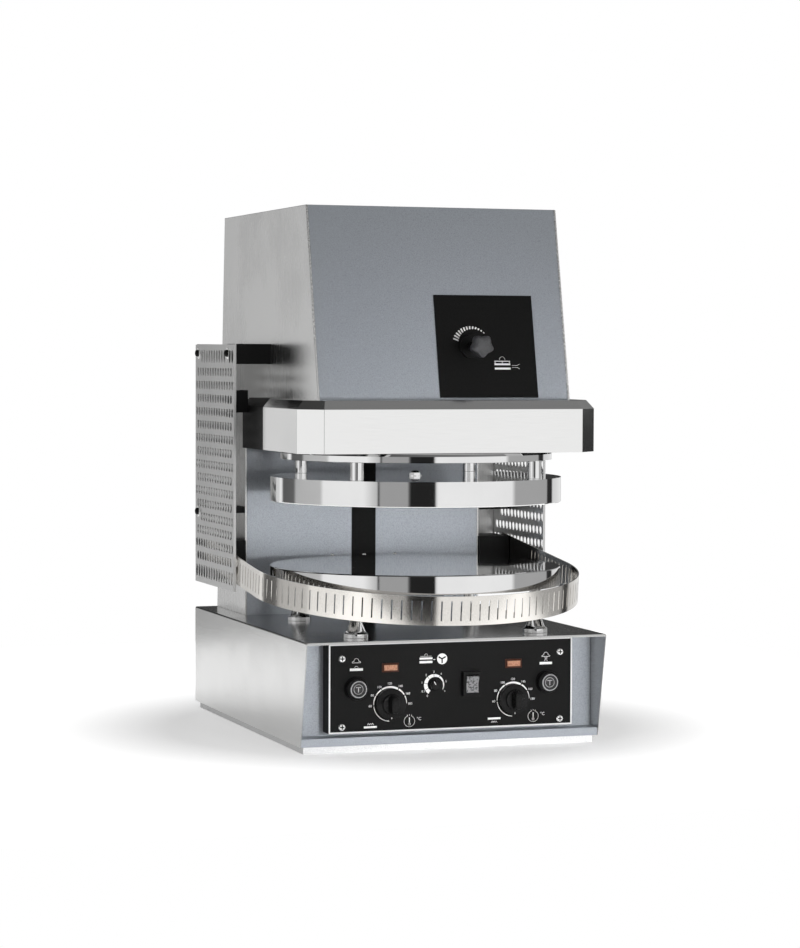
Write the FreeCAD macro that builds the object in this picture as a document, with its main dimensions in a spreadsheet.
import FreeCAD, Part
import math
import os
import re
import Sketcher

# Countertop heated press for pizza dough.  Millimetres, +Z up, the operator stands at -Y.
# The origin lies on the table, at the middle of the machine's length and width.

doc = FreeCAD.newDocument("HotPress")

SIZES = {
    # press axis and skins
    "platen_y": -89.1,
    "platen_dia": 400,
    "skin": 1.5,
    "bend": 2.5,
    # lower casing
    "tray_rise": 10,
    "tray_inset": 6,
    "tray_rim": 14,
    "base_width": 422,
    "base_length": 559,
    "base_rise": 140,
    "base_reach": 178,
    "cheek_slant": 27,
    "front_shelf": 25,
    "lip_rise": 11,
    "top_lip": 3.5,
    "cable_hole_dia": 40,
    "cable_hole_in": 80,
    "vent_length": 60,
    "vent_above": 52,
    "louvre_above": 68,
    "louvre_below": 156,
    "gland_in": 46,
    "gland_above": 34,
    "gland_dia": 16,
    "gland_bore": 9,
    "gland_length": 20,
    "vent_height": 5,
    "vent_pitch": 12,
    # control box and fascia
    "fascia_width": 344,
    "fascia_height": 118,
    "fascia_low": 26.5,
    "fascia_thick": 2,
    "fascia_screw_x": 154,
    "fascia_screw_rise": 45,
    "fascia_screw_dia": 9.6,
    "dial_x": 87,
    "dial_z": 63.5,
    "lamp_z": 111.5,
    "lamp_width": 20.5,
    "lamp_height": 9,
    "start_x": 135,
    "start_z": 85.5,
    "centre_row_z": 86.5,
    "timer_x": -25.5,
    "rocker_x": 26.5,
    "rocker_width": 16.8,
    "rocker_swing_radius": 12.2,
    "rocker_tilt": 8,
    "rocker_proud": 7,
    "rocker_well": 4,
    "knob_dia": 43,
    "knob_skirt": 7,
    "knob_step": 10.3,
    "knob_height": 24,
    "knob_grip": 10,
    "grip_dia": 26,
    "thermostat_width": 38,
    "thermostat_height": 36,
    "thermostat_depth": 30,
    "timer_case": 40,
    "timer_depth": 26,
    "rocker_depth": 24,
    "shaft_dia": 6,
    "bush_dia": 10,
    "timer_knob_dia": 14,
    "start_bezel_dia": 29.5,
    "start_barrel_dia": 22,
    "start_cap_dia": 23,
    "start_collar_out": 10,
    "start_cap_out": 14,
    "start_travel": 4,
    "run_gap": 0.1,
    "play": 0.4,
    # lower platen on its four cones
    "cone_circle": 360,
    "cone_foot_dia": 33,
    "cone_foot_rise": 6,
    "cone_rise": 18,
    "cone_neck_dia": 15,
    "cone_height": 60,
    "lower_thick": 25,
    "plate_thick": 12,
    "rim_wall": 4,
    "platen_edge": 1.2,
    "heater_thick": 4,
    "heater_dia": 350,
    "heater_bore": 70,
    # press unit
    "press_gap": 88.5,
    "press_travel": 86,
    "upper_thick": 34,
    "cover_thick": 3,
    "centre_nut_dia": 18.5,
    "centre_nut_rise": 7.5,
    "spacer_dia": 18,
    "spacer_circle": 356,
    "spacer_rise": 24,
    "carrier_dia": 374,
    "carrier_rise": 11.5,
    "carrier_bevel": 3,
    "ram_dia": 50,
    "ram_length": 167,
    "screw_dia": 20,
    "nut_length": 40,
    "rod_dia": 16,
    "rod_x": 115,
    "rod_length": 172,
    # column and head
    "side_sheet": 3,
    "column_width": 357.6,
    "column_front": 226,
    "column_back_low": 376,
    "column_back_high": 336.6,
    "head_high": 722.5,
    "head_low": 463.5,
    "head_edge": 400,
    "head_front_high": 65.7,
    "head_front_low": 121.4,
    "strip_width": 36,
    "strip_thick": 2,
    "corner_radius": 12,
    "head_plate_low": 428,
    "head_plate_thick": 12,
    "head_plate_length": 250,
    "bridge_x": 80,
    "bridge_high": 600,
    "bridge_depth": 120,
    "bridge_thick": 10,
    "bridge_wall": 8,
    "guide_rise": 30,
    "rod_boss_wall": 7,
    "ram_boss_wall": 10,
    "gearbox_width": 96,
    "gearbox_height": 78,
    "motor_dia": 90,
    "motor_length": 170,
    "motor_rise": 40,
    "motor_spigot_dia": 60,
    "motor_spigot": 10,
    "screw_collar_wall": 7,
    "screw_collar_rise": 5.7,
    "screw_tail": 20,
    # bumper band round the head
    "band_width": 421,
    "band_reach": 159.3,
    "band_low": 393.5,
    "band_rise": 58.5,
    "band_chamfer": 28.8,
    "band_bevel": 10,
    "band_split": 27,
    "band_end": 128,
    # thickness knob and its plate
    "dial_plate": 140.5,
    "dial_plate_x": 62.5,
    "dial_plate_gap": 3,
    "dial_plate_thick": 2,
    "gap_knob_x": 39,
    "gap_knob_drop": 73.7,
    "gap_knob_out": 56,
    "gap_knob_dia": 32,
    "gap_knob_lobe": 8.4,
    "gap_knob_head": 17,
    "gap_stem_dia": 12,
    "gap_collar_dia": 31,
    "gap_collar_out": 8,
    # perforated side guards
    "guard_gap": 5,
    "guard_front": 96,
    "guard_back": 301,
    "guard_low": 195,
    "guard_high": 538,
    "guard_lip": 3.5,
    "guard_screw_in": 16,
    "guard_screw_drop": 13,
    "guard_screw_low": 241,
    "guard_screw_dia": 10,
    "guard_screw_rise": 4.6,
    "column_screw_dia": 6.6,
    "bracket_length": 36,
    "panel_screw_x": 48,
    "screw_shank": 4,
    "slot_columns": 15,
    "slot_rows": 17,
    "slot_width": 9,
    "slot_length": 12.3,
    "slot_end_length": 18.3,
    "slot_pitch": 13.4,
    "slot_row_pitch": 18.9,
    "slot_margin": 13.8,
    # safety ring
    "ring_radius": 227,
    "ring_centre": 5,
    "ring_wall": 1.5,
    "ring_height": 38.5,
    "ring_z": 214.5,
    "ring_tilt": 6.2,
    "ring_pivot": 240,
    "ring_tail": 12,
    "ring_slot_width": 2,
    "ring_slot_height": 26,
    "ring_slot_angle": 3.3,
    "pin_dia": 8,
    "block_length": 63,
    "block_height": 54,
    "block_gap": 1,
    "block_ahead": 23,
    "stop_ahead": 16,
    "stop_dia": 6,
    "seat_gap": 0.3,
}

# Levels and places that follow from the sizes above.
DERIVED = {
    "base_top": "tray_rise + base_rise",
    "base_front": "platen_y - base_reach",
    "base_back": "base_front + base_length",
    "half_base": "base_width / 2",
    "half_inside": "half_base - skin",
    "lip_y": "base_front + cheek_slant",
    "panel_y": "lip_y + front_shelf",
    "fascia_back": "lip_y + fascia_thick",
    "fascia_mid": "fascia_low + fascia_height / 2 - 5.5",
    "platen_low": "base_top + cone_height",
    "platen_top": "platen_low + lower_thick",
    "upper_low": "platen_top + press_gap",
    "upper_top": "upper_low + upper_thick",
    "carrier_low": "upper_top + spacer_rise",
    "carrier_top": "carrier_low + carrier_rise",
    "half_column": "column_width / 2",
    "half_between": "half_column - side_sheet",
    "column_y": "platen_y + column_front",
    "back_low_y": "platen_y + column_back_low",
    "back_high_y": "platen_y + column_back_high",
    "front_high_y": "platen_y - head_front_high",
    "front_low_y": "platen_y - head_front_low",
    "head_plate_top": "head_plate_low + head_plate_thick",
    "half_band": "band_width / 2",
    "band_y": "platen_y - band_reach",
    "band_top": "band_low + band_rise",
    "band_split_y": "platen_y + band_split",
    "band_back_y": "platen_y + band_end",
    "guard_x": "ring_radius + guard_gap",
    "guard_front_y": "platen_y + guard_front",
    "guard_back_y": "platen_y + guard_back",
    "ring_y": "platen_y + ring_centre",
}

sheet = doc.addObject("Spreadsheet::Sheet", "Sheet")
for row, (alias, size) in enumerate(SIZES.items(), start=1):
    sheet.set("A%d" % row, str(size))
    sheet.setAlias("A%d" % row, alias)
doc.recompute()

WORD = re.compile(r"\b[a-z][a-z0-9_]*\b")


def formula(text):
    """The text as a FreeCAD expression: derived names opened up, sizes read from the sheet."""
    def swap(match):
        word = match.group(0)
        if word in DERIVED:
            return "(" + formula(DERIVED[word]) + ")"
        if word in SIZES:
            return "Sheet." + word
        return word
    return WORD.sub(swap, str(text))


def value(text):
    return float(sheet.evalExpression(formula(text)))


def bind(item, prop, text):
    item.setExpression(prop, formula(text))


pieces = []


def keep(item, label):
    item.Label = label
    pieces.append(item)
    return item


def seat(item, x="0", y="0", z="0"):
    """Place an item at a point worked out from the sizes."""
    for axis, text in zip("xyz", (x, y, z)):
        bind(item, "Placement.Base." + axis, text)
    return item


# ---- PartDesign helpers -------------------------------------------------------------------

def new_body(label):
    return keep(doc.addObject("PartDesign::Body", label), label)


def new_sketch(body, plane, offset="0"):
    """A sketch on one of the body's origin planes, moved along the plane's normal."""
    sketch = body.newObject("Sketcher::SketchObject", body.Name + "_sketch")
    support = [f for f in body.Origin.OriginFeatures if f.Role == plane + "_Plane"][0]
    sketch.AttachmentSupport = [(support, "")]
    sketch.MapMode = "FlatFace"
    bind(sketch, "AttachmentOffset.Base.z", offset)
    return sketch


def hold_points(sketch, holds, joins):
    """Add joins and pinned points in one step; each hold is (geometry, end, x, y)."""
    rules = [Sketcher.Constraint("Coincident", *join) for join in joins]
    driven = []
    for geometry, end, x, y in holds:
        for text, kind, axis in ((x, "DistanceX", -2), (y, "DistanceY", -1)):
            size = value(text)
            if abs(size) < 1e-9:
                rules.append(Sketcher.Constraint("PointOnObject", geometry, end, axis))
                continue
            driven.append((len(rules), text))
            rules.append(Sketcher.Constraint(kind, -1, 1, geometry, end, size))
    first = sketch.ConstraintCount
    sketch.addConstraint(rules)
    for number, text in driven:
        bind(sketch, "Constraints[%d]" % (first + number), text)


def polygon(sketch, points):
    """A closed outline of straight lines, each corner held by formulas."""
    first = sketch.GeometryCount
    spots = [FreeCAD.Vector(value(x), value(y), 0) for x, y in points]
    count = len(points)
    sketch.addGeometry([Part.LineSegment(spots[i], spots[(i + 1) % count])
                        for i in range(count)], False)
    joins = [(first + i, 2, first + (i + 1) % count, 1) for i in range(count)]
    hold_points(sketch, [(first + i, 1, x, y) for i, (x, y) in enumerate(points)], joins)
    return sketch


def rectangle(sketch, left, low, right, high):
    return polygon(sketch, [(left, low), (right, low), (right, high), (left, high)])


def block(sketch, x, y, width, height):
    """A rectangle given by its middle."""
    w = "(%s) / 2" % width
    h = "(%s) / 2" % height
    return rectangle(sketch, "%s - %s" % (x, w), "%s - %s" % (y, h),
                     "%s + %s" % (x, w), "%s + %s" % (y, h))


def circle(sketch, x, y, diameter):
    spot = FreeCAD.Vector(value(x), value(y), 0)
    radius = value(diameter) / 2
    number = sketch.addGeometry(Part.Circle(spot, FreeCAD.Vector(0, 0, 1), radius), False)
    hold_points(sketch, [(number, 3, x, y)], [])
    hold = sketch.addConstraint(Sketcher.Constraint("Diameter", number, 2 * radius))
    bind(sketch, "Constraints[%d]" % hold, diameter)
    return sketch


def pad(body, sketch, length, back=False):
    feature = body.newObject("PartDesign::Pad", body.Name + "_pad")
    feature.Profile = sketch
    feature.Reversed = back
    bind(feature, "Length", length)
    body.Tip = feature
    return feature


def pocket(body, sketch, length, back=False):
    feature = body.newObject("PartDesign::Pocket", body.Name + "_pocket")
    feature.Profile = sketch
    feature.Reversed = back
    bind(feature, "Length", length)
    body.Tip = feature
    return feature


def revolve(body, points, plane="XZ"):
    """A solid of revolution about the sketch's upright axis; points are (radius, height)."""
    sketch = polygon(new_sketch(body, plane), points)
    feature = body.newObject("PartDesign::Revolution", body.Name + "_turn")
    feature.Profile = sketch
    feature.ReferenceAxis = (sketch, ["V_Axis"])
    feature.Angle = 360
    body.Tip = feature
    return feature


def edges_where(feature, test):
    """Names of the edges of a feature whose middle and direction pass the test."""
    doc.recompute()
    names = []
    for number, edge in enumerate(feature.Shape.Edges, start=1):
        middle = edge.valueAt((edge.FirstParameter + edge.LastParameter) / 2)
        along = edge.tangentAt((edge.FirstParameter + edge.LastParameter) / 2)
        if test(middle, along):
            names.append("Edge%d" % number)
    return names


def soften(body, kind, size, test):
    """Fillet or chamfer the edges of the tip that pass the test."""
    base = body.Tip
    names = edges_where(base, test)
    feature = body.newObject("PartDesign::" + kind, body.Name + "_" + kind.lower())
    feature.Base = (base, names)
    bind(feature, "Radius" if kind == "Fillet" else "Size", size)
    body.Tip = feature
    return feature


def near(a, b, within=0.02):
    return abs(a - b) < within


def sheet_part(label, plane, outline, start, length):
    """A folded or flat sheet: one outline pushed through a length along the plane's normal."""
    body = new_body(label)
    pad(body, polygon(new_sketch(body, plane, start), outline), length)
    return body


SIDES = (("left", -1), ("right", 1))


def sided(side, text):
    return "%d * (%s)" % (side, text)


# ---- lower casing ---------------------------------------------------------------------------

# Floor of the casing with a rim folded down all round, on which the machine stands.
tray = new_body("base_tray")
floor = new_sketch(tray, "XY", "tray_rise")
rectangle(floor, "-half_inside", "lip_y + skin", "half_inside", "base_back - skin")
pad(tray, floor, "skin")
rim = new_sketch(tray, "XY")
outer = ["tray_inset - half_base", "lip_y + tray_inset", "half_base - tray_inset",
         "base_back - tray_inset"]
rectangle(rim, *outer)
rectangle(rim, outer[0] + " + tray_rim", outer[1] + " + tray_rim",
          outer[2] + " - tray_rim", outer[3] + " - tray_rim")
pad(tray, rim, "tray_rise")

# Stainless top and cheeks in one fold; the cheeks lean back towards the table.
shell = sheet_part("base_shell", "XZ", [
    ("-half_base", "tray_rise"), ("-half_inside", "tray_rise"),
    ("-half_inside", "base_top - skin"), ("half_inside", "base_top - skin"),
    ("half_inside", "tray_rise"), ("half_base", "tray_rise"),
    ("half_base", "base_top"), ("-half_base", "base_top")],
    "-base_back", "base_length")
soften(shell, "Fillet", "bend",
       lambda p, d: near(abs(d.y), 1) and near(abs(p.x), value("half_base"))
       and near(p.z, value("base_top")))
slant = new_sketch(shell, "YZ", "-half_base")
polygon(slant, [("base_front - 1", "base_top - top_lip"), ("base_front", "base_top - top_lip"),
                ("lip_y", "tray_rise"), ("lip_y", "tray_rise - 1"),
                ("base_front - 1", "tray_rise - 1")])
pocket(shell, slant, "base_width", back=True)
fold = new_sketch(shell, "XZ", "-base_front - skin")
rectangle(fold, "-half_inside", "base_top - top_lip", "half_inside", "base_top - skin")
pad(shell, fold, "skin")
passage = new_sketch(shell, "XY", "base_top")
circle(passage, "0", "column_y + cable_hole_in", "cable_hole_dia")
pocket(shell, passage, "2 * skin")

# Grey front: upright panel, shelf and lip in one fold, open behind the control box.
front = sheet_part("base_front_panel", "YZ", [
    ("lip_y", "tray_rise"), ("lip_y + skin", "tray_rise"),
    ("lip_y + skin", "tray_rise + lip_rise - skin"),
    ("panel_y + skin", "tray_rise + lip_rise - skin"),
    ("panel_y + skin", "base_top - skin"), ("panel_y", "base_top - skin"),
    ("panel_y", "tray_rise + lip_rise"), ("lip_y", "tray_rise + lip_rise")],
    "-half_inside", "2 * half_inside")
hatch = new_sketch(front, "XZ", "-panel_y - 2 * skin")
block(hatch, "0", "fascia_low + fascia_height / 2", "fascia_width - 24", "fascia_height - 24")
pocket(front, hatch, "4 * skin", back=True)

# Back of the lower casing with rows of air slots and the hole for the mains gland.
def air_slots(x_count, z_count, y, z):
    """Compound of boxes along Y: rows of slots centred on x = 0, the lowest row at z."""
    width = value("vent_length")
    height = value("vent_height")
    depth = 60
    boxes = []
    for column in range(x_count):
        x = (column - (x_count - 1) / 2) * (width + 20) - width / 2
        for row in range(z_count):
            corner = FreeCAD.Vector(x, y - depth / 2, z + row * value("vent_pitch"))
            boxes.append(Part.makeBox(width, depth, height, corner))
    return Part.makeCompound(boxes)


def cut_through(label, blank, shape):
    """A blank body with a compound of cutters taken out of it."""
    tool = doc.addObject("Part::Feature", label + "_cutters")
    tool.Shape = shape
    item = doc.addObject("Part::Cut", label)
    item.Base = blank
    item.Tool = tool
    return keep(item, label)


back = doc.addObject("PartDesign::Body", "back_blank")
rear = new_sketch(back, "XZ", "-base_back")
rectangle(rear, "-half_inside", "tray_rise", "half_inside", "base_top - skin")
circle(rear, "gland_in - half_base", "tray_rise + gland_above", "gland_dia")
pad(back, rear, "skin")
cut_through("base_back_panel", back,
            air_slots(3, 5, value("base_back"), value("tray_rise + vent_above")))

# Black control box that stands out from the front panel, and its fascia.
box = new_body("control_box")
walls = new_sketch(box, "XZ", "-panel_y")
middle_z = "fascia_low + fascia_height / 2"
block(walls, "0", middle_z, "fascia_width", "fascia_height")
block(walls, "0", middle_z, "fascia_width - 4", "fascia_height - 4")
pad(box, walls, "front_shelf - fascia_thick")

fascia = new_body("control_fascia")
face = new_sketch(fascia, "XZ", "-fascia_back")
block(face, "0", middle_z, "fascia_width", "fascia_height")
pad(fascia, face, "fascia_thick")
soften(fascia, "Fillet", "2", lambda p, d: near(abs(d.y), 1))
holes = new_sketch(fascia, "XZ", "-fascia_back - 1")
for name, side in SIDES:
    circle(holes, sided(side, "dial_x"), "dial_z", "bush_dia + play")
    circle(holes, sided(side, "start_x"), "start_z", "start_barrel_dia + play")
    block(holes, sided(side, "dial_x"), "lamp_z", "lamp_width - 1.5", "lamp_height - 1.5")
    for end in (-1, 1):
        circle(holes, sided(side, "fascia_screw_x"),
               "fascia_mid + %d * fascia_screw_rise" % end, "screw_shank + play")
circle(holes, "timer_x", "centre_row_z", "bush_dia + play")
block(holes, "rocker_x", "centre_row_z", "rocker_width + 5 + play",
      "2 * rocker_swing_radius + 5 + play")
pocket(fascia, holes, "fascia_thick + 2", back=True)


def screw_shape(head_dia, head_rise, shank_dia, shank_length):
    """A screw along -Z with its round head standing on Z = 0."""
    outline = [(0, -shank_length), (shank_dia / 2, -shank_length), (shank_dia / 2, 0),
               (head_dia / 2, 0), (head_dia / 2, head_rise), (0, head_rise), (0, -shank_length)]
    wire = Part.makePolygon([FreeCAD.Vector(r, 0, z) for r, z in outline])
    return Part.Face(wire).revolve(FreeCAD.Vector(0, 0, 0), FreeCAD.Vector(0, 0, 1), 360)


def screws(label, *sets):
    """Screws as separate solids, in sets of a shape and its spots: a point and the head's way."""
    copies = []
    for shape, spots in sets:
        for point, look in spots:
            copy = shape.copy()
            turn = FreeCAD.Rotation(FreeCAD.Vector(0, 0, 1), FreeCAD.Vector(*look))
            copy.Placement = FreeCAD.Placement(FreeCAD.Vector(*point), turn)
            copies.append(copy)
    item = doc.addObject("Part::Feature", label)
    item.Shape = Part.makeCompound(copies)
    return keep(item, label)


spots = []
for name, side in SIDES:
    for end in (-1, 1):
        spots.append(((side * value("fascia_screw_x"), value("lip_y"),
                       value("fascia_mid") + end * value("fascia_screw_rise")), (0, -1, 0)))
screws("fascia_screws",
       (screw_shape(value("fascia_screw_dia"), 2.6, value("screw_shank"), 14), spots))

# Pilot lamps, thermostats and start buttons, one of each on either side.
for name, side in SIDES:
    x = sided(side, "dial_x")
    lamp = new_body("pilot_lamp_" + name)
    flange = new_sketch(lamp, "XZ", "-lip_y")
    block(flange, x, "lamp_z", "lamp_width + 3", "lamp_height + 3")
    pad(lamp, flange, "1.2")
    lens = new_sketch(lamp, "XZ", "-lip_y + 1.2")
    block(lens, x, "lamp_z", "lamp_width", "lamp_height")
    pad(lamp, lens, "2")
    stem = new_sketch(lamp, "XZ", "-lip_y")
    block(stem, x, "lamp_z", "lamp_width - 1.5 - play", "lamp_height - 1.5 - play")
    pad(lamp, stem, "22", back=True)

    thermostat = new_body("thermostat_" + name)
    case = new_sketch(thermostat, "XZ", "-fascia_back")
    block(case, x, "dial_z", "thermostat_width", "thermostat_height")
    circle(case, x, "dial_z", "shaft_dia + 2 * run_gap")
    pad(thermostat, case, "thermostat_depth", back=True)
    bush = new_sketch(thermostat, "XZ", "-fascia_back")
    circle(bush, x, "dial_z", "bush_dia")
    circle(bush, x, "dial_z", "shaft_dia + 2 * run_gap")
    pad(thermostat, bush, "fascia_thick + 0.8")

    knob = new_body("thermostat_knob_" + name)
    revolve(knob, [("0", "-20"), ("shaft_dia / 2", "-20"), ("shaft_dia / 2", "1.4"),
                   ("knob_dia / 2", "1.4"), ("knob_dia / 2", "knob_skirt - 1"),
                   ("knob_dia / 2 - 1", "knob_skirt"), ("grip_dia / 2", "knob_skirt + 0.5"),
                   ("grip_dia / 2", "knob_step"), ("grip_dia / 2 - 2", "knob_height"),
                   ("0", "knob_height")])
    for half in (-1, 1):
        cut = new_sketch(knob, "XY", "knob_height + 1")
        edge = "%d * knob_grip / 2" % half
        far = "%d * knob_dia" % half
        polygon(cut, [(edge, "-knob_dia"), (far, "-knob_dia"), (far, "knob_dia"),
                      (edge, "knob_dia")])
        pocket(knob, cut, "knob_height + 1 - knob_step")
    turned = FreeCAD.Rotation(FreeCAD.Vector(1, 0, 0), 90)
    knob.Placement = FreeCAD.Placement(FreeCAD.Vector(0, 0, 0), turned)
    seat(knob, x, "lip_y", "dial_z")

    sx = sided(side, "start_x")
    collar = new_body("start_collar_" + name)
    revolve(collar, [
        ("start_cap_dia / 2 + play", "0"), ("start_bezel_dia / 2", "0"),
        ("start_bezel_dia / 2", "start_collar_out - 2"),
        ("start_bezel_dia / 2 - 1.5", "start_collar_out"),
        ("start_cap_dia / 2 + play", "start_collar_out")])
    barrel = new_sketch(collar, "XY", "1")
    circle(barrel, "0", "0", "start_bezel_dia - 1")
    circle(barrel, "0", "0", "12 + 2 * run_gap")
    pad(collar, barrel, "1", back=True)
    thread = new_sketch(collar, "XY")
    circle(thread, "0", "0", "start_barrel_dia")
    circle(thread, "0", "0", "12 + 2 * run_gap")
    pad(collar, thread, "26", back=True)
    collar.Placement = FreeCAD.Placement(FreeCAD.Vector(0, 0, 0), turned)
    seat(collar, sx, "lip_y", "start_z")

    cap = new_body("start_button_" + name)
    revolve(cap, [("0", "-16"), ("6", "-16"), ("6", "start_travel + 1.8"),
                  ("start_cap_dia / 2", "start_travel + 1.8"),
                  ("start_cap_dia / 2", "start_cap_out - 1"),
                  ("start_cap_dia / 2 - 1", "start_cap_out"), ("0", "start_cap_out")])
    cap.Placement = FreeCAD.Placement(FreeCAD.Vector(0, 0, 0), turned)
    seat(cap, sx, "lip_y", "start_z")

# Timer in the middle row: case behind the fascia and a small slotted knob.
timer = new_body("timer")
case = new_sketch(timer, "XZ", "-fascia_back")
block(case, "timer_x", "centre_row_z", "timer_case", "timer_case")
circle(case, "timer_x", "centre_row_z", "shaft_dia + 2 * run_gap")
pad(timer, case, "timer_depth", back=True)
bush = new_sketch(timer, "XZ", "-fascia_back")
circle(bush, "timer_x", "centre_row_z", "bush_dia")
circle(bush, "timer_x", "centre_row_z", "shaft_dia + 2 * run_gap")
pad(timer, bush, "fascia_thick + 0.8")

timer_knob = new_body("timer_knob")
revolve(timer_knob, [("0", "-18"), ("shaft_dia / 2", "-18"), ("shaft_dia / 2", "1.2"),
                     ("timer_knob_dia / 2", "1.2"), ("timer_knob_dia / 2", "7.5"),
                     ("timer_knob_dia / 2 - 1", "9"), ("0", "9")])
slit = new_sketch(timer_knob, "XY", "10")
block(slit, "0", "2", "1.6", "timer_knob_dia - 4")
pocket(timer_knob, slit, "3")
timer_knob.Placement = FreeCAD.Placement(FreeCAD.Vector(0, 0, 0),
                                         FreeCAD.Rotation(FreeCAD.Vector(1, 0, 0), 90))
seat(timer_knob, "timer_x", "lip_y", "centre_row_z")

# Mains rocker: frame with a well, and the rocker on its cross pin.
frame = new_body("rocker_frame")
trim = new_sketch(frame, "XZ", "-lip_y")
block(trim, "rocker_x", "centre_row_z", "rocker_width + 9", "2 * rocker_swing_radius + 8.5")
pad(frame, trim, "rocker_proud")
case = new_sketch(frame, "XZ", "-lip_y")
block(case, "rocker_x", "centre_row_z", "rocker_width + 5", "2 * rocker_swing_radius + 5")
pad(frame, case, "rocker_depth", back=True)
well = new_sketch(frame, "XZ", "-lip_y + rocker_proud + 1")
block(well, "rocker_x", "centre_row_z", "rocker_width + play", "2 * rocker_swing_radius + play")
pocket(frame, well, "15", back=False)
pin_seat = new_sketch(frame, "YZ", "rocker_x - rocker_width / 2 - 2")
circle(pin_seat, "lip_y - rocker_proud + rocker_well", "centre_row_z", "3 + 2 * run_gap")
pocket(frame, pin_seat, "rocker_width + 4", back=True)

rocker = new_body("mains_rocker")
paddle = new_sketch(rocker, "YZ", "-rocker_width / 2")
polygon(paddle, [("-6", "-rocker_swing_radius"), ("-3.2", "0"), ("-6", "rocker_swing_radius"),
                 ("3", "rocker_swing_radius * 0.8"), ("3", "-rocker_swing_radius * 0.8")])
pad(rocker, paddle, "rocker_width")
trimmer = new_sketch(rocker, "YZ", "-rocker_width")
circle(trimmer, "0", "0", "4 * rocker_swing_radius")
circle(trimmer, "0", "0", "2 * rocker_swing_radius")
pocket(rocker, trimmer, "2 * rocker_width", back=True)
pin = new_sketch(rocker, "YZ", "-rocker_width / 2 - 1.5")
circle(pin, "0", "0", "3")
pad(rocker, pin, "rocker_width + 3")
rocker.Placement = FreeCAD.Placement(FreeCAD.Vector(0, 0, 0),
                                     FreeCAD.Rotation(FreeCAD.Vector(1, 0, 0), 8))
bind(rocker, "Placement.Rotation.Angle", "rocker_tilt")
seat(rocker, "rocker_x", "lip_y - rocker_proud + rocker_well", "centre_row_z")

# Cable gland in the back of the casing.
gland = new_body("mains_gland")
revolve(gland, [("gland_bore / 2", "-8"), ("gland_dia / 2 - 0.2", "-8"),
                ("gland_dia / 2 - 0.2", "0"), ("gland_dia / 2 + 4", "0"),
                ("gland_dia / 2 + 4", "6"), ("gland_dia / 2 + 1", "8"),
                ("gland_dia / 2", "gland_length"), ("gland_bore / 2", "gland_length")])
gland.Placement = FreeCAD.Placement(FreeCAD.Vector(0, 0, 0),
                                    FreeCAD.Rotation(FreeCAD.Vector(1, 0, 0), -90))
seat(gland, "gland_in - half_base", "base_back", "tray_rise + gland_above")

# ---- lower platen ---------------------------------------------------------------------------

for depth, row in (("front", -1), ("rear", 1)):
    for name, side in SIDES:
        cone = new_body("cone_%s_%s" % (depth, name))
        revolve(cone, [("0", "0"), ("cone_foot_dia / 2", "0"),
                       ("cone_foot_dia / 2", "cone_foot_rise"),
                       ("cone_neck_dia / 2", "cone_foot_rise + cone_rise"),
                       ("cone_neck_dia / 2", "cone_height"), ("0", "cone_height")])
        reach = "cone_circle / 2 * cos(45)"
        seat(cone, sided(side, reach), "platen_y + " + sided(row, reach), "base_top")

hot_radius = "platen_dia / 2"
def hot_plate(label, working_face, open_face, sign):
    """Cast disc with a skirt: working face, edge break, rim and the recess for its heater."""
    body = new_body(label)
    inner = "(%s - rim_wall)" % hot_radius
    recess = "%s - %d * plate_thick" % (working_face, sign)
    revolve(body, [("0", recess), (inner, recess), (inner, open_face), (hot_radius, open_face),
                   (hot_radius, "%s - %d * platen_edge" % (working_face, sign)),
                   (hot_radius + " - platen_edge", working_face), ("0", working_face)])
    return body


lower = hot_plate("lower_platen", "lower_thick", "0", 1)
seat(lower, "0", "platen_y", "platen_low")

heater = new_body("lower_heater")
revolve(heater, [("heater_bore / 2", "0"), ("heater_dia / 2", "0"),
                 ("heater_dia / 2", "heater_thick"), ("heater_bore / 2", "heater_thick")])
seat(heater, "0", "platen_y", "platen_low + lower_thick - plate_thick - heater_thick")

pan = new_body("lower_pan")
revolve(pan, [("0", "0"), (hot_radius + " - rim_wall - play", "0"),
              (hot_radius + " - rim_wall - play", "lower_thick - plate_thick - heater_thick"),
              ("0", "lower_thick - plate_thick - heater_thick")])
seat(pan, "0", "platen_y", "platen_low")

# ---- press unit: all that comes down together --------------------------------------------------

upper = hot_plate("upper_platen", "0", "upper_thick", -1)
seat(upper, "0", "platen_y", "upper_low")

heater = new_body("upper_heater")
revolve(heater, [("heater_bore / 2", "0"), ("heater_dia / 2", "0"),
                 ("heater_dia / 2", "heater_thick"), ("heater_bore / 2", "heater_thick")])
seat(heater, "0", "platen_y", "upper_low + plate_thick")

cover = new_body("upper_cover")
cover_low = "upper_thick - cover_thick"
revolve(cover, [("0", cover_low), (hot_radius + " - rim_wall - play", cover_low),
                (hot_radius + " - rim_wall - play", "upper_thick"), ("0", "upper_thick")])
posts = new_sketch(cover, "XY", "plate_thick + heater_thick")
circle(posts, "spacer_circle / 2 * cos(45)", "spacer_circle / 2 * cos(45)", "spacer_dia + 8")
posts_pad = pad(cover, posts, "upper_thick - cover_thick - plate_thick - heater_thick")
ring_of_posts = cover.newObject("PartDesign::PolarPattern", "cover_posts")
ring_of_posts.Originals = [posts_pad]
ring_of_posts.Axis = (posts, ["N_Axis"])
ring_of_posts.Angle = 360
ring_of_posts.Occurrences = 4
cover.Tip = ring_of_posts
seat(cover, "0", "platen_y", "upper_low")

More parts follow.
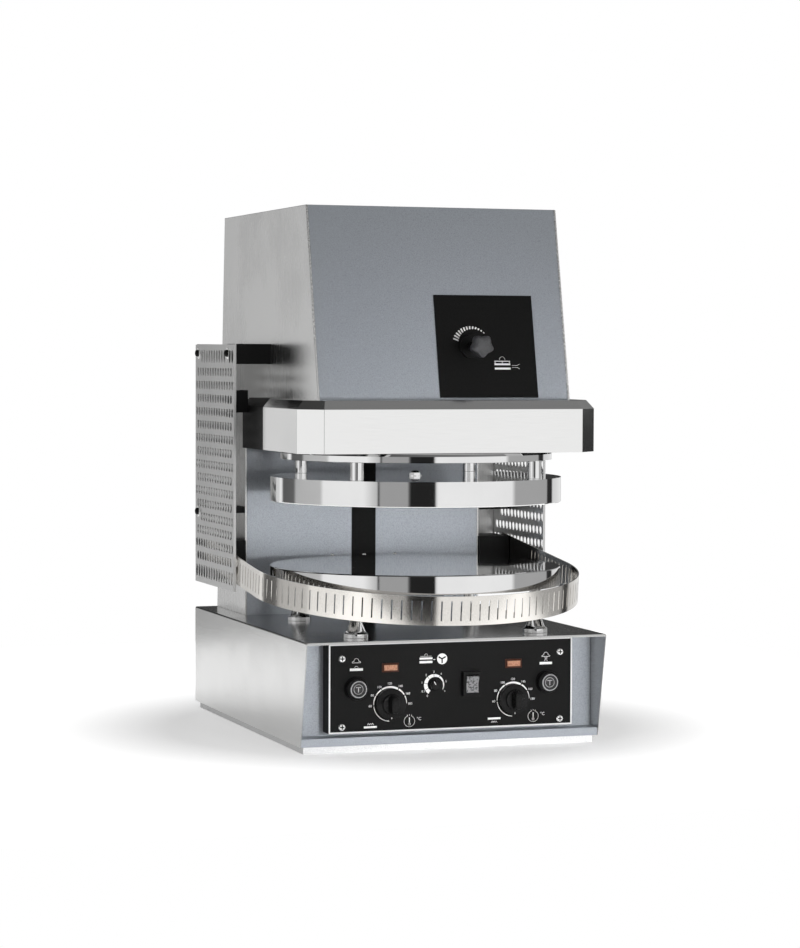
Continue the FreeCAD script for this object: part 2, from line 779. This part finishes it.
nut = new_body("centre_nut")
dome = new_sketch(nut, "XY")
hexagon = [("centre_nut_dia / 2 * cos(%d)" % (60 * i), "centre_nut_dia / 2 * sin(%d)" % (60 * i))
           for i in range(6)]
polygon(dome, hexagon)
pad(nut, dome, "centre_nut_rise * 0.6")
cap_sketch = new_sketch(nut, "XZ")
polygon(cap_sketch, [("0", "centre_nut_rise / 2"), ("centre_nut_dia * 0.4", "centre_nut_rise / 2"),
                     ("centre_nut_dia * 0.38", "centre_nut_rise * 0.75"),
                     ("centre_nut_dia * 0.25", "centre_nut_rise * 0.94"),
                     ("0", "centre_nut_rise")])
turn_cap = nut.newObject("PartDesign::Revolution", "nut_dome")
turn_cap.Profile = cap_sketch
turn_cap.ReferenceAxis = (cap_sketch, ["V_Axis"])
turn_cap.Angle = 360
nut.Tip = turn_cap
seat(nut, "0", "platen_y", "upper_top")

spacers = []
offset = value("spacer_circle") / 2 * math.cos(math.radians(45))
for row in (-1, 1):
    for name, side in SIDES:
        foot = FreeCAD.Vector(side * offset, row * offset, 0)
        spacers.append(Part.makeCylinder(value("spacer_dia") / 2, value("spacer_rise"),
                                         foot))
spacer_set = doc.addObject("Part::Feature", "press_spacers")
spacer_set.Shape = Part.makeCompound(spacers)
keep(spacer_set, "press_spacers")
seat(spacer_set, "0", "platen_y", "upper_top")

carrier = new_body("carrier_disc")
revolve(carrier, [("0", "0"), ("carrier_dia / 2", "0"),
                  ("carrier_dia / 2", "carrier_rise - carrier_bevel"),
                  ("carrier_dia / 2 - carrier_bevel", "carrier_rise"), ("0", "carrier_rise")])
seat(carrier, "0", "platen_y", "carrier_low")

ram = new_body("ram")
revolve(ram, [("ram_dia / 2 - 8", "0"), ("ram_dia / 2", "0"), ("ram_dia / 2", "ram_length"),
              ("screw_dia / 2 + run_gap", "ram_length"),
              ("screw_dia / 2 + run_gap", "ram_length - nut_length"),
              ("ram_dia / 2 - 8", "ram_length - nut_length")])
seat(ram, "0", "platen_y", "carrier_top")

rods = [Part.makeCylinder(value("rod_dia") / 2, value("rod_length"),
                          FreeCAD.Vector(side * value("rod_x"), 0, 0)) for name, side in SIDES]
rod_pair = doc.addObject("Part::Feature", "guide_rods")
rod_pair.Shape = Part.makeCompound(rods)
keep(rod_pair, "guide_rods")
seat(rod_pair, "0", "platen_y", "carrier_top")

# ---- drive in the head ------------------------------------------------------------------------

head = new_body("head_frame")
plate = new_sketch(head, "XY", "head_plate_low")
rectangle(plate, "-half_between", "platen_y - head_plate_length / 2",
          "half_between", "column_y")
pad(head, plate, "head_plate_thick")
guides = new_sketch(head, "XY", "head_plate_top")
for name, side in SIDES:
    circle(guides, sided(side, "rod_x"), "platen_y", "rod_dia + 2 * rod_boss_wall")
circle(guides, "0", "platen_y", "ram_dia + 2 * ram_boss_wall")
pad(head, guides, "guide_rise")
for name, side in SIDES:
    upright = new_sketch(head, "XY", "head_plate_top")
    inner = sided(side, "bridge_x")
    outer_x = sided(side, "bridge_x + bridge_wall")
    polygon(upright, [(inner, "platen_y - bridge_depth / 2"),
                      (outer_x, "platen_y - bridge_depth / 2"),
                      (outer_x, "platen_y + bridge_depth / 2"),
                      (inner, "platen_y + bridge_depth / 2")])
    pad(head, upright, "bridge_high - head_plate_top - bridge_thick")
bridge = new_sketch(head, "XY", "bridge_high - bridge_thick")
rectangle(bridge, "-bridge_x - bridge_wall", "platen_y - bridge_depth / 2",
          "bridge_x + bridge_wall", "platen_y + bridge_depth / 2")
pad(head, bridge, "bridge_thick")
bores = new_sketch(head, "XY", "head_plate_low - 1")
for name, side in SIDES:
    circle(bores, sided(side, "rod_x"), "platen_y", "rod_dia + 2 * run_gap")
circle(bores, "0", "platen_y", "ram_dia + 2 * run_gap")
pocket(head, bores, "head_plate_thick + guide_rise + 2", back=True)
journal = new_sketch(head, "XY", "bridge_high + 1")
circle(journal, "0", "platen_y", "screw_dia + 2 * run_gap")
pocket(head, journal, "2 * bridge_thick")

screw = new_body("lead_screw")
screw_low = "carrier_top + ram_length - nut_length - press_travel - 8"
collar_high = "bridge_high - bridge_thick - seat_gap - (%s)" % screw_low
revolve(screw, [("0", "0"), ("screw_dia / 2", "0"),
                ("screw_dia / 2", collar_high + " - screw_collar_rise"),
                ("screw_dia / 2 + screw_collar_wall", collar_high + " - screw_collar_rise"),
                ("screw_dia / 2 + screw_collar_wall", collar_high),
                ("screw_dia / 2", collar_high),
                ("screw_dia / 2", "bridge_high + screw_tail - (%s)" % screw_low),
                ("0", "bridge_high + screw_tail - (%s)" % screw_low)])
seat(screw, "0", "platen_y", screw_low)

motor = new_body("gear_motor")
gearbox = new_sketch(motor, "XY", "bridge_high")
block(gearbox, "0", "platen_y", "gearbox_width", "bridge_depth - bridge_thick")
pad(motor, gearbox, "gearbox_height")
drum = new_sketch(motor, "XZ", "-platen_y - bridge_depth / 2")
circle(drum, "0", "bridge_high + motor_rise", "motor_dia")
pad(motor, drum, "motor_length", back=True)
link = new_sketch(motor, "XZ", "-platen_y - bridge_depth / 2 + motor_spigot - 2")
circle(link, "0", "bridge_high + motor_rise", "motor_spigot_dia")
pad(motor, link, "motor_spigot", back=True)
socket = new_sketch(motor, "XY", "bridge_high - 1")
circle(socket, "0", "platen_y", "screw_dia + 2 * run_gap")
pocket(motor, socket, "screw_tail + 2", back=True)

# ---- column and head casing ----------------------------------------------------------------------

# Each side is one sheet: column below, head above, the throat of the press between.
for name, side in SIDES:
    start = "half_between" if side > 0 else "-half_column"
    panel = sheet_part("side_sheet_" + name, "YZ", [
        ("back_low_y", "base_top"), ("back_high_y", "head_high"),
        ("front_high_y", "head_high"), ("front_low_y", "head_low"),
        ("front_low_y", "head_edge"), ("column_y", "head_edge"), ("column_y", "base_top")],
        start, "side_sheet")
    soften(panel, "Fillet", "corner_radius",
           lambda p, d: near(abs(d.x), 1) and near(p.y, value("column_y"))
           and near(p.z, value("head_edge")))

def screw_holes(spots, length):
    """Cylinders for the clearance holes of screws at the given spots."""
    radius = value("screw_shank + play") / 2
    holes = []
    for point, look in spots:
        way = FreeCAD.Vector(*look)
        start = FreeCAD.Vector(*point) + way * length / 2
        holes.append(Part.makeCylinder(radius, length, start, way * -1))
    return holes


column_spots = []
for x, proud in (("-panel_screw_x", "0"), ("0", "strip_thick"), ("panel_screw_x", "0")):
    column_spots.append(((value(x), value("column_y - " + proud), value("platen_top") - 2),
                         (0, -1, 0)))
guard_spots = {}
for name, side in SIDES:
    rear_y = value("guard_back_y - guard_screw_in")
    front_y = value("guard_front_y + 2 * guard_screw_in")
    high_z = value("guard_high - guard_screw_drop")
    guard_spots[name] = [((side * value("guard_x"), y, z), (side, 0, 0)) for y, z in (
        (front_y, high_z), (rear_y, high_z), (rear_y, value("guard_high - guard_screw_low")))]

column = doc.addObject("PartDesign::Body", "column_blank")
pad(column, polygon(new_sketch(column, "XY", "base_top"), [
    ("-half_between", "column_y"), ("half_between", "column_y"),
    ("half_between", "column_y + 20"), ("half_between - skin", "column_y + 20"),
    ("half_between - skin", "column_y + skin"), ("skin - half_between", "column_y + skin"),
    ("skin - half_between", "column_y + 20"), ("-half_between", "column_y + 20")]),
    "head_plate_low - base_top")
slit = new_sketch(column, "XZ", "-column_y - 2 * skin")
rectangle(slit, "-strip_width / 4", "platen_top + 20", "strip_width / 4", "head_plate_low - 30")
pocket(column, slit, "4 * skin", back=True)
cut_through("column_panel", column, Part.makeCompound(screw_holes(column_spots, 12)))

strip = doc.addObject("PartDesign::Body", "strip_blank")
face = new_sketch(strip, "XZ", "-column_y")
rectangle(face, "-strip_width / 2", "base_top", "strip_width / 2", "head_plate_low")
pad(strip, face, "strip_thick")
cut_through("column_strip", strip, Part.makeCompound(screw_holes(column_spots[1:2], 12)))

top = sheet_part("top_cover", "YZ", [
    ("front_high_y + 1.6", "head_high"), ("front_high_y + 1.6", "head_high - skin"),
    ("back_high_y - 2", "head_high - skin"), ("back_high_y - 2", "head_high")],
    "-half_between", "2 * half_between")

# Lectern front of the head with a return along its lower edge.
slope = "(front_high_y - front_low_y) / (head_high - head_low)"
upper_front = sheet_part("head_front", "YZ", [
    ("front_high_y", "head_high"), ("front_low_y", "head_low"),
    ("front_low_y + 16", "head_low"), ("front_low_y + 16", "head_low + skin"),
    ("front_low_y + skin + skin * (%s)" % slope, "head_low + skin"),
    ("front_high_y + skin", "head_high")],
    "-half_between", "2 * half_between")

rear_blank = doc.addObject("PartDesign::Body", "rear_blank")
outline = new_sketch(rear_blank, "YZ", "-half_between")
polygon(outline, [("back_low_y", "base_top"), ("back_high_y", "head_high"),
                  ("back_high_y - skin", "head_high"), ("back_low_y - skin", "base_top")])
pad(rear_blank, outline, "2 * half_between")
louvres = [air_slots(3, 8, value("back_low_y"), value("base_top + louvre_above")),
           air_slots(3, 8, value("back_high_y"), value("head_high - louvre_below"))]
cut_through("rear_cover", rear_blank, Part.makeCompound(louvres))

# ---- bumper band round the lower edge of the head ----------------------------------------------------

def band_outline(inset, back):
    """Half a hexagon in plan: front and two sides with chamfered front corners."""
    c = "band_chamfer"
    k = "(%s) * (sqrt(2) - 1)" % inset
    side_x = "half_band - (%s)" % inset
    front_y = "band_y + (%s)" % inset
    return [("-(%s)" % side_x, back), ("-(%s)" % side_x, "band_y + %s + %s" % (c, k)),
            ("-(half_band - %s - %s)" % (c, k), front_y), ("half_band - %s - %s" % (c, k), front_y),
            (side_x, "band_y + %s + %s" % (c, k)), (side_x, back)]


def loft(body, kind, low, high):
    feature = body.newObject("PartDesign::" + kind, body.Name + "_loft")
    feature.Profile = low
    feature.Sections = [high]
    feature.Ruled = True
    body.Tip = feature
    return feature


band = new_body("head_band")
pad(band, polygon(new_sketch(band, "XY", "band_low"), band_outline("0", "band_split_y")),
    "band_rise")
low = polygon(new_sketch(band, "XY", "band_top"), band_outline("0", "band_split_y"))
high = polygon(new_sketch(band, "XY", "head_low"), band_outline("band_bevel", "band_split_y"))
loft(band, "AdditiveLoft", low, high)
pocket(band, polygon(new_sketch(band, "XY", "band_low - 1"),
                     band_outline("skin", "band_split_y + 1")), "band_rise + 1", back=True)
low = polygon(new_sketch(band, "XY", "band_top"), band_outline("skin", "band_split_y + 1"))
high = polygon(new_sketch(band, "XY", "head_low - skin"),
               band_outline("band_bevel + skin", "band_split_y + 1"))
loft(band, "SubtractiveLoft", low, high)
mouth = new_sketch(band, "XY", "head_low + 1")
rectangle(mouth, "-half_column", "front_low_y", "half_column", "band_split_y + 1")
pocket(band, mouth, "skin + 8")

for name, side in SIDES:
    end = new_body("band_end_" + name)
    outline = [("half_band", "band_low"), ("half_band - skin", "band_low"),
               ("half_band - skin", "band_top - 0.5"),
               ("half_band - skin - band_bevel", "head_low - skin"),
               ("half_column", "head_low - skin"), ("half_column", "head_low"),
               ("half_band - band_bevel", "head_low"), ("half_band", "band_top")]
    sketch = new_sketch(end, "XZ", "-band_back_y")
    pad(end, polygon(sketch, [(sided(side, x), z) for x, z in outline]),
        "band_back_y - band_split_y")
    wall = new_sketch(end, "XZ", "-band_back_y")
    shape = [("half_band", "band_low"), ("half_column", "band_low"), ("half_column", "head_low"),
             ("half_band - band_bevel", "head_low"), ("half_band", "band_top")]
    pad(end, polygon(wall, [(sided(side, x), z) for x, z in shape]), "skin")

# ---- thickness knob on the sloping front ----------------------------------------------------------------

lean = "atan((front_high_y - front_low_y) / (head_high - head_low))"
knob_y = "front_low_y + gap_knob_drop * sin(%s)" % lean
knob_z = "head_low + gap_knob_drop * cos(%s)" % lean


def on_slope(item):
    """Stand an item on the sloping front at the thickness knob: its own -Y looks outwards."""
    item.Placement = FreeCAD.Placement(FreeCAD.Vector(0, 0, 0),
                                       FreeCAD.Rotation(FreeCAD.Vector(-1, 0, 0), 12))
    bind(item, "Placement.Rotation.Angle", lean)
    return seat(item, "gap_knob_x", knob_y, knob_z)


dial = new_body("knob_plate")
face = new_sketch(dial, "XZ")
plate_low = "dial_plate_gap - gap_knob_drop"
plate_left = "dial_plate_x - dial_plate / 2 - gap_knob_x"
rectangle(face, plate_left, plate_low, plate_left + " + dial_plate", plate_low + " + dial_plate")
circle(face, "0", "0", "gap_stem_dia + 2")
pad(dial, face, "dial_plate_thick")
on_slope(dial)

# The knob's shaft lies level, so its collar is a short tube whose inner end is cut to the plate.
collar = new_body("knob_collar")
face = new_sketch(collar, "XZ", "gap_collar_out")
circle(face, "0", "0", "gap_collar_dia")
circle(face, "0", "0", "gap_stem_dia + 2 * run_gap")
pad(collar, face, "gap_collar_out + gap_collar_dia / 2", back=True)
plate_cut = new_sketch(collar, "YZ", "-gap_collar_dia")
reach = "gap_collar_dia"
plate_face = "-dial_plate_thick / cos(%s)" % lean
tilt = "%s * tan(%s)" % (reach, lean)
polygon(plate_cut, [("%s - %s" % (plate_face, tilt), "-" + reach), ("2 * " + reach, "-" + reach),
                    ("2 * " + reach, reach), ("%s + %s" % (plate_face, tilt), reach)])
pocket(collar, plate_cut, "2 * gap_collar_dia", back=True)
seat(collar, "gap_knob_x", knob_y, knob_z)

gap_knob = new_body("thickness_knob")
stem = new_sketch(gap_knob, "XZ", "dial_plate_thick")
circle(stem, "0", "0", "gap_stem_dia")
pad(gap_knob, stem, "gap_knob_out - gap_knob_head")
lobes = new_sketch(gap_knob, "XZ", "gap_knob_out - gap_knob_head")
circle(lobes, "0", "0", "gap_knob_dia - gap_knob_lobe")
pad(gap_knob, lobes, "gap_knob_head")
lobe = new_sketch(gap_knob, "XZ", "gap_knob_out - gap_knob_head")
circle(lobe, "0", "(gap_knob_lobe - gap_knob_dia) / 2", "gap_knob_lobe")
lobe_pad = pad(gap_knob, lobe, "gap_knob_head - 2")
crown = gap_knob.newObject("PartDesign::PolarPattern", "knob_lobes")
crown.Originals = [lobe_pad]
crown.Axis = (lobe, ["N_Axis"])
crown.Angle = 360
crown.Occurrences = 5
gap_knob.Tip = crown
seat(gap_knob, "gap_knob_x", knob_y, knob_z)

# ---- perforated side guards --------------------------------------------------------------------------------

def slot_cutters(name, side):
    """Rows of upright slots, every other row half a pitch along and the end rows longer.

    No slot lies under a screw head.
    """
    boxes = []
    width = value("slot_width")
    pitch = value("slot_pitch")
    middle = value("guard_front_y + guard_back_y") / 2
    rows = int(value("slot_rows"))
    clear = value("screw_shank")
    for row in range(rows):
        low_z = value("guard_low + slot_margin") + row * value("slot_row_pitch")
        length = value("slot_end_length") if row in (0, rows - 1) else value("slot_length")
        if row == 0:
            low_z += value("slot_length - slot_end_length")
        count = int(value("slot_columns")) - row % 2
        for column in range(count):
            y = middle + (column - (count - 1) / 2) * pitch
            blocked = [spot for spot, look in guard_spots[name]
                       if abs(spot[1] - y) < width / 2 + clear
                       and low_z - clear < spot[2] < low_z + length + clear]
            if not blocked:
                corner = FreeCAD.Vector(side * value("guard_x") - 5, y - width / 2, low_z)
                boxes.append(Part.makeBox(10, width, length, corner))
    return Part.makeCompound(boxes)


for name, side in SIDES:
    outline = [("guard_x", "guard_front_y"), ("guard_x", "guard_back_y"),
               ("half_column", "guard_back_y"), ("half_column", "guard_back_y - skin"),
               ("guard_x - skin", "guard_back_y - skin"),
               ("guard_x - skin", "guard_front_y + skin"),
               ("guard_x - guard_lip", "guard_front_y + skin"),
               ("guard_x - guard_lip", "guard_front_y")]
    blank = doc.addObject("PartDesign::Body", "guard_blank_" + name)
    pad(blank, polygon(new_sketch(blank, "XY", "guard_low"),
                       [(sided(side, x), y) for x, y in outline]), "guard_high - guard_low")
    cutters = [slot_cutters(name, side)] + screw_holes(guard_spots[name], 8)
    cut_through("side_guard_" + name, blank, Part.makeCompound(cutters))

# Black brackets between guard and machine: two at the head and one low on the column.
bracket_rows = [("half_column", "guard_front_y + 4", "guard_high - 28", "28"),
                ("half_band", "guard_front_y + 4", "band_top - 9", "31"),
                ("half_column", "column_y + 2", "guard_low + 101.5", "9")]
solids = []
for name, side in SIDES:
    for root, y, z, rise in bracket_rows:
        y0 = value(y)
        y1 = y0 + value("bracket_length")
        low_x = value(root)
        high_x = value("guard_x - skin")
        points = [(low_x, y0), (high_x, y0), (high_x, y1), (high_x - 2, y1),
                  (high_x - 2, y0 + 2), (low_x + 2, y0 + 2), (low_x + 2, y1), (low_x, y1)]
        wire = Part.makePolygon([FreeCAD.Vector(side * x, yy, value(z))
                                 for x, yy in points + points[:1]])
        bracket = Part.Face(wire).extrude(FreeCAD.Vector(0, 0, value(rise)))
        solids.append(bracket.cut(screw_holes(guard_spots[name], 12)))
brackets = doc.addObject("Part::Feature", "guard_brackets")
brackets.Shape = Part.makeCompound(solids)
keep(brackets, "guard_brackets")

screws("panel_screws",
       (screw_shape(value("column_screw_dia"), 2.4, value("screw_shank"), 6), column_spots),
       (screw_shape(value("guard_screw_dia"), value("guard_screw_rise"), value("screw_shank"), 6),
        guard_spots["left"] + guard_spots["right"]))

# ---- safety ring and its hinge blocks ------------------------------------------------------------------

ring = doc.addObject("PartDesign::Body", "ring_blank")
outline = new_sketch(ring, "XY", "-ring_height / 2")
arcs = []
for radius in ("ring_radius", "ring_radius - ring_wall"):
    r = value(radius)
    arc = Part.ArcOfCircle(Part.Circle(FreeCAD.Vector(0, 0, 0), FreeCAD.Vector(0, 0, 1), r),
                           math.pi, 2 * math.pi)
    number = outline.addGeometry(arc, False)
    outline.addConstraint(Sketcher.Constraint("Coincident", number, 3, -1, 1))
    hold = outline.addConstraint(Sketcher.Constraint("Radius", number, r))
    bind(outline, "Constraints[%d]" % hold, radius)
    arcs.append(number)
tail = "ring_pivot + ring_tail"
for side in (-1, 1):
    r_out = side * value("ring_radius")
    r_in = side * value("ring_radius - ring_wall")
    end_y = value(tail)
    corner = [FreeCAD.Vector(r_out, 0, 0), FreeCAD.Vector(r_out, end_y, 0),
              FreeCAD.Vector(r_in, end_y, 0), FreeCAD.Vector(r_in, 0, 0)]
    first = outline.GeometryCount
    for i in range(3):
        outline.addGeometry(Part.LineSegment(corner[i], corner[i + 1]), False)
    arc_end = 1 if side < 0 else 2
    outline.addConstraint(Sketcher.Constraint("Coincident", first, 1, arcs[0], arc_end))
    outline.addConstraint(Sketcher.Constraint("Coincident", first, 2, first + 1, 1))
    outline.addConstraint(Sketcher.Constraint("Coincident", first + 1, 2, first + 2, 1))
    outline.addConstraint(Sketcher.Constraint("Coincident", first + 2, 2, arcs[1], arc_end))
    outline.addConstraint(Sketcher.Constraint("Vertical", first))
    outline.addConstraint(Sketcher.Constraint("Horizontal", first + 1))
    outline.addConstraint(Sketcher.Constraint("Vertical", first + 2))
    outline.addConstraint(Sketcher.Constraint("PointOnObject", arcs[0], arc_end, -1))
    outline.addConstraint(Sketcher.Constraint("PointOnObject", arcs[1], arc_end, -1))
    hold = outline.addConstraint(Sketcher.Constraint("DistanceY", -1, 1, first, 2, end_y))
    bind(outline, "Constraints[%d]" % hold, tail)
pad(ring, outline, "ring_height")

eyes = new_sketch(ring, "YZ", "-ring_radius - 1")
circle(eyes, "ring_pivot", "0", "pin_dia + 2 * run_gap")
pocket(ring, eyes, "2 * ring_radius + 2", back=True)


def ring_slots():
    """Upright slots round the front arc and along the first part of both branches."""
    width = value("ring_slot_width")
    height = value("ring_slot_height")
    radius = value("ring_radius")
    step = value("ring_slot_angle")
    boxes = []
    reach = int(90 / step)
    for number in range(-reach, reach + 1):
        slot = Part.makeBox(width, 8, height, FreeCAD.Vector(-width / 2, -radius - 3, -height / 2))
        slot.rotate(FreeCAD.Vector(0, 0, 0), FreeCAD.Vector(0, 0, 1), number * step)
        boxes.append(slot)
    pitch = math.radians(step) * radius
    for number in range(10):
        y = 10 + number * pitch
        for side in (-1, 1):
            corner = FreeCAD.Vector(side * radius - 4, y - width / 2, -height / 2)
            boxes.append(Part.makeBox(8, width, height, corner))
    return Part.makeCompound(boxes)


ring = cut_through("safety_ring", ring, ring_slots())
ring.Placement = FreeCAD.Placement(FreeCAD.Vector(0, 0, 0),
                                   FreeCAD.Rotation(FreeCAD.Vector(1, 0, 0), 6))
bind(ring, "Placement.Rotation.Angle", "ring_tilt")
seat(ring, "0", "ring_y", "ring_z")

pin_y = "ring_y + ring_pivot * cos(ring_tilt)"
pin_z = "ring_z + ring_pivot * sin(ring_tilt)"
stop_drop = "(ring_height / 2 + stop_dia / 2 + seat_gap)"
stop_y = pin_y + " - stop_ahead * cos(ring_tilt) + %s * sin(ring_tilt)" % stop_drop
stop_z = pin_z + " - stop_ahead * sin(ring_tilt) - %s * cos(ring_tilt)" % stop_drop
for name, side in SIDES:
    hinge = new_body("ring_block_" + name)
    inner = "half_column" if side > 0 else "ring_wall + block_gap - ring_radius"
    case = new_sketch(hinge, "YZ", inner)
    rectangle(case, pin_y + " - block_ahead", pin_z + " - block_height / 2 - 10",
              pin_y + " - block_ahead + block_length", pin_z + " + block_height / 2 - 10")
    pad(hinge, case, "ring_radius - ring_wall - block_gap - half_column")
    root = "half_column + 5" if side > 0 else "-ring_radius - 1.5"
    for y, z, width in ((pin_y, pin_z, "pin_dia"), (stop_y, stop_z, "stop_dia")):
        pin = new_sketch(hinge, "YZ", root)
        circle(pin, y, z, width)
        pad(hinge, pin, "ring_radius + 1.5 - half_column - 5")

# ---- check and write ----------------------------------------------------------------------------------

doc.recompute()
for item in doc.Objects:
    if "Invalid" in item.State or "Error" in item.State:
        raise RuntimeError("failed: %s %s" % (item.Name, item.State))
    if item.TypeId in ("PartDesign::Pocket", "PartDesign::SubtractiveLoft"):
        before = item.BaseFeature.Shape.Volume
        if item.Shape.Volume > before - 0.01:
            raise RuntimeError("cuts nothing: " + item.Name)
for item in pieces:
    if item.Shape.isNull() or not item.Shape.isValid():
        raise RuntimeError("bad shape: " + item.Label)

os.makedirs("parts", exist_ok=True)
for item in pieces:
    item.Shape.exportStep("parts/%s.step" % item.Label)
print("%d sub-parts written" % len(pieces))
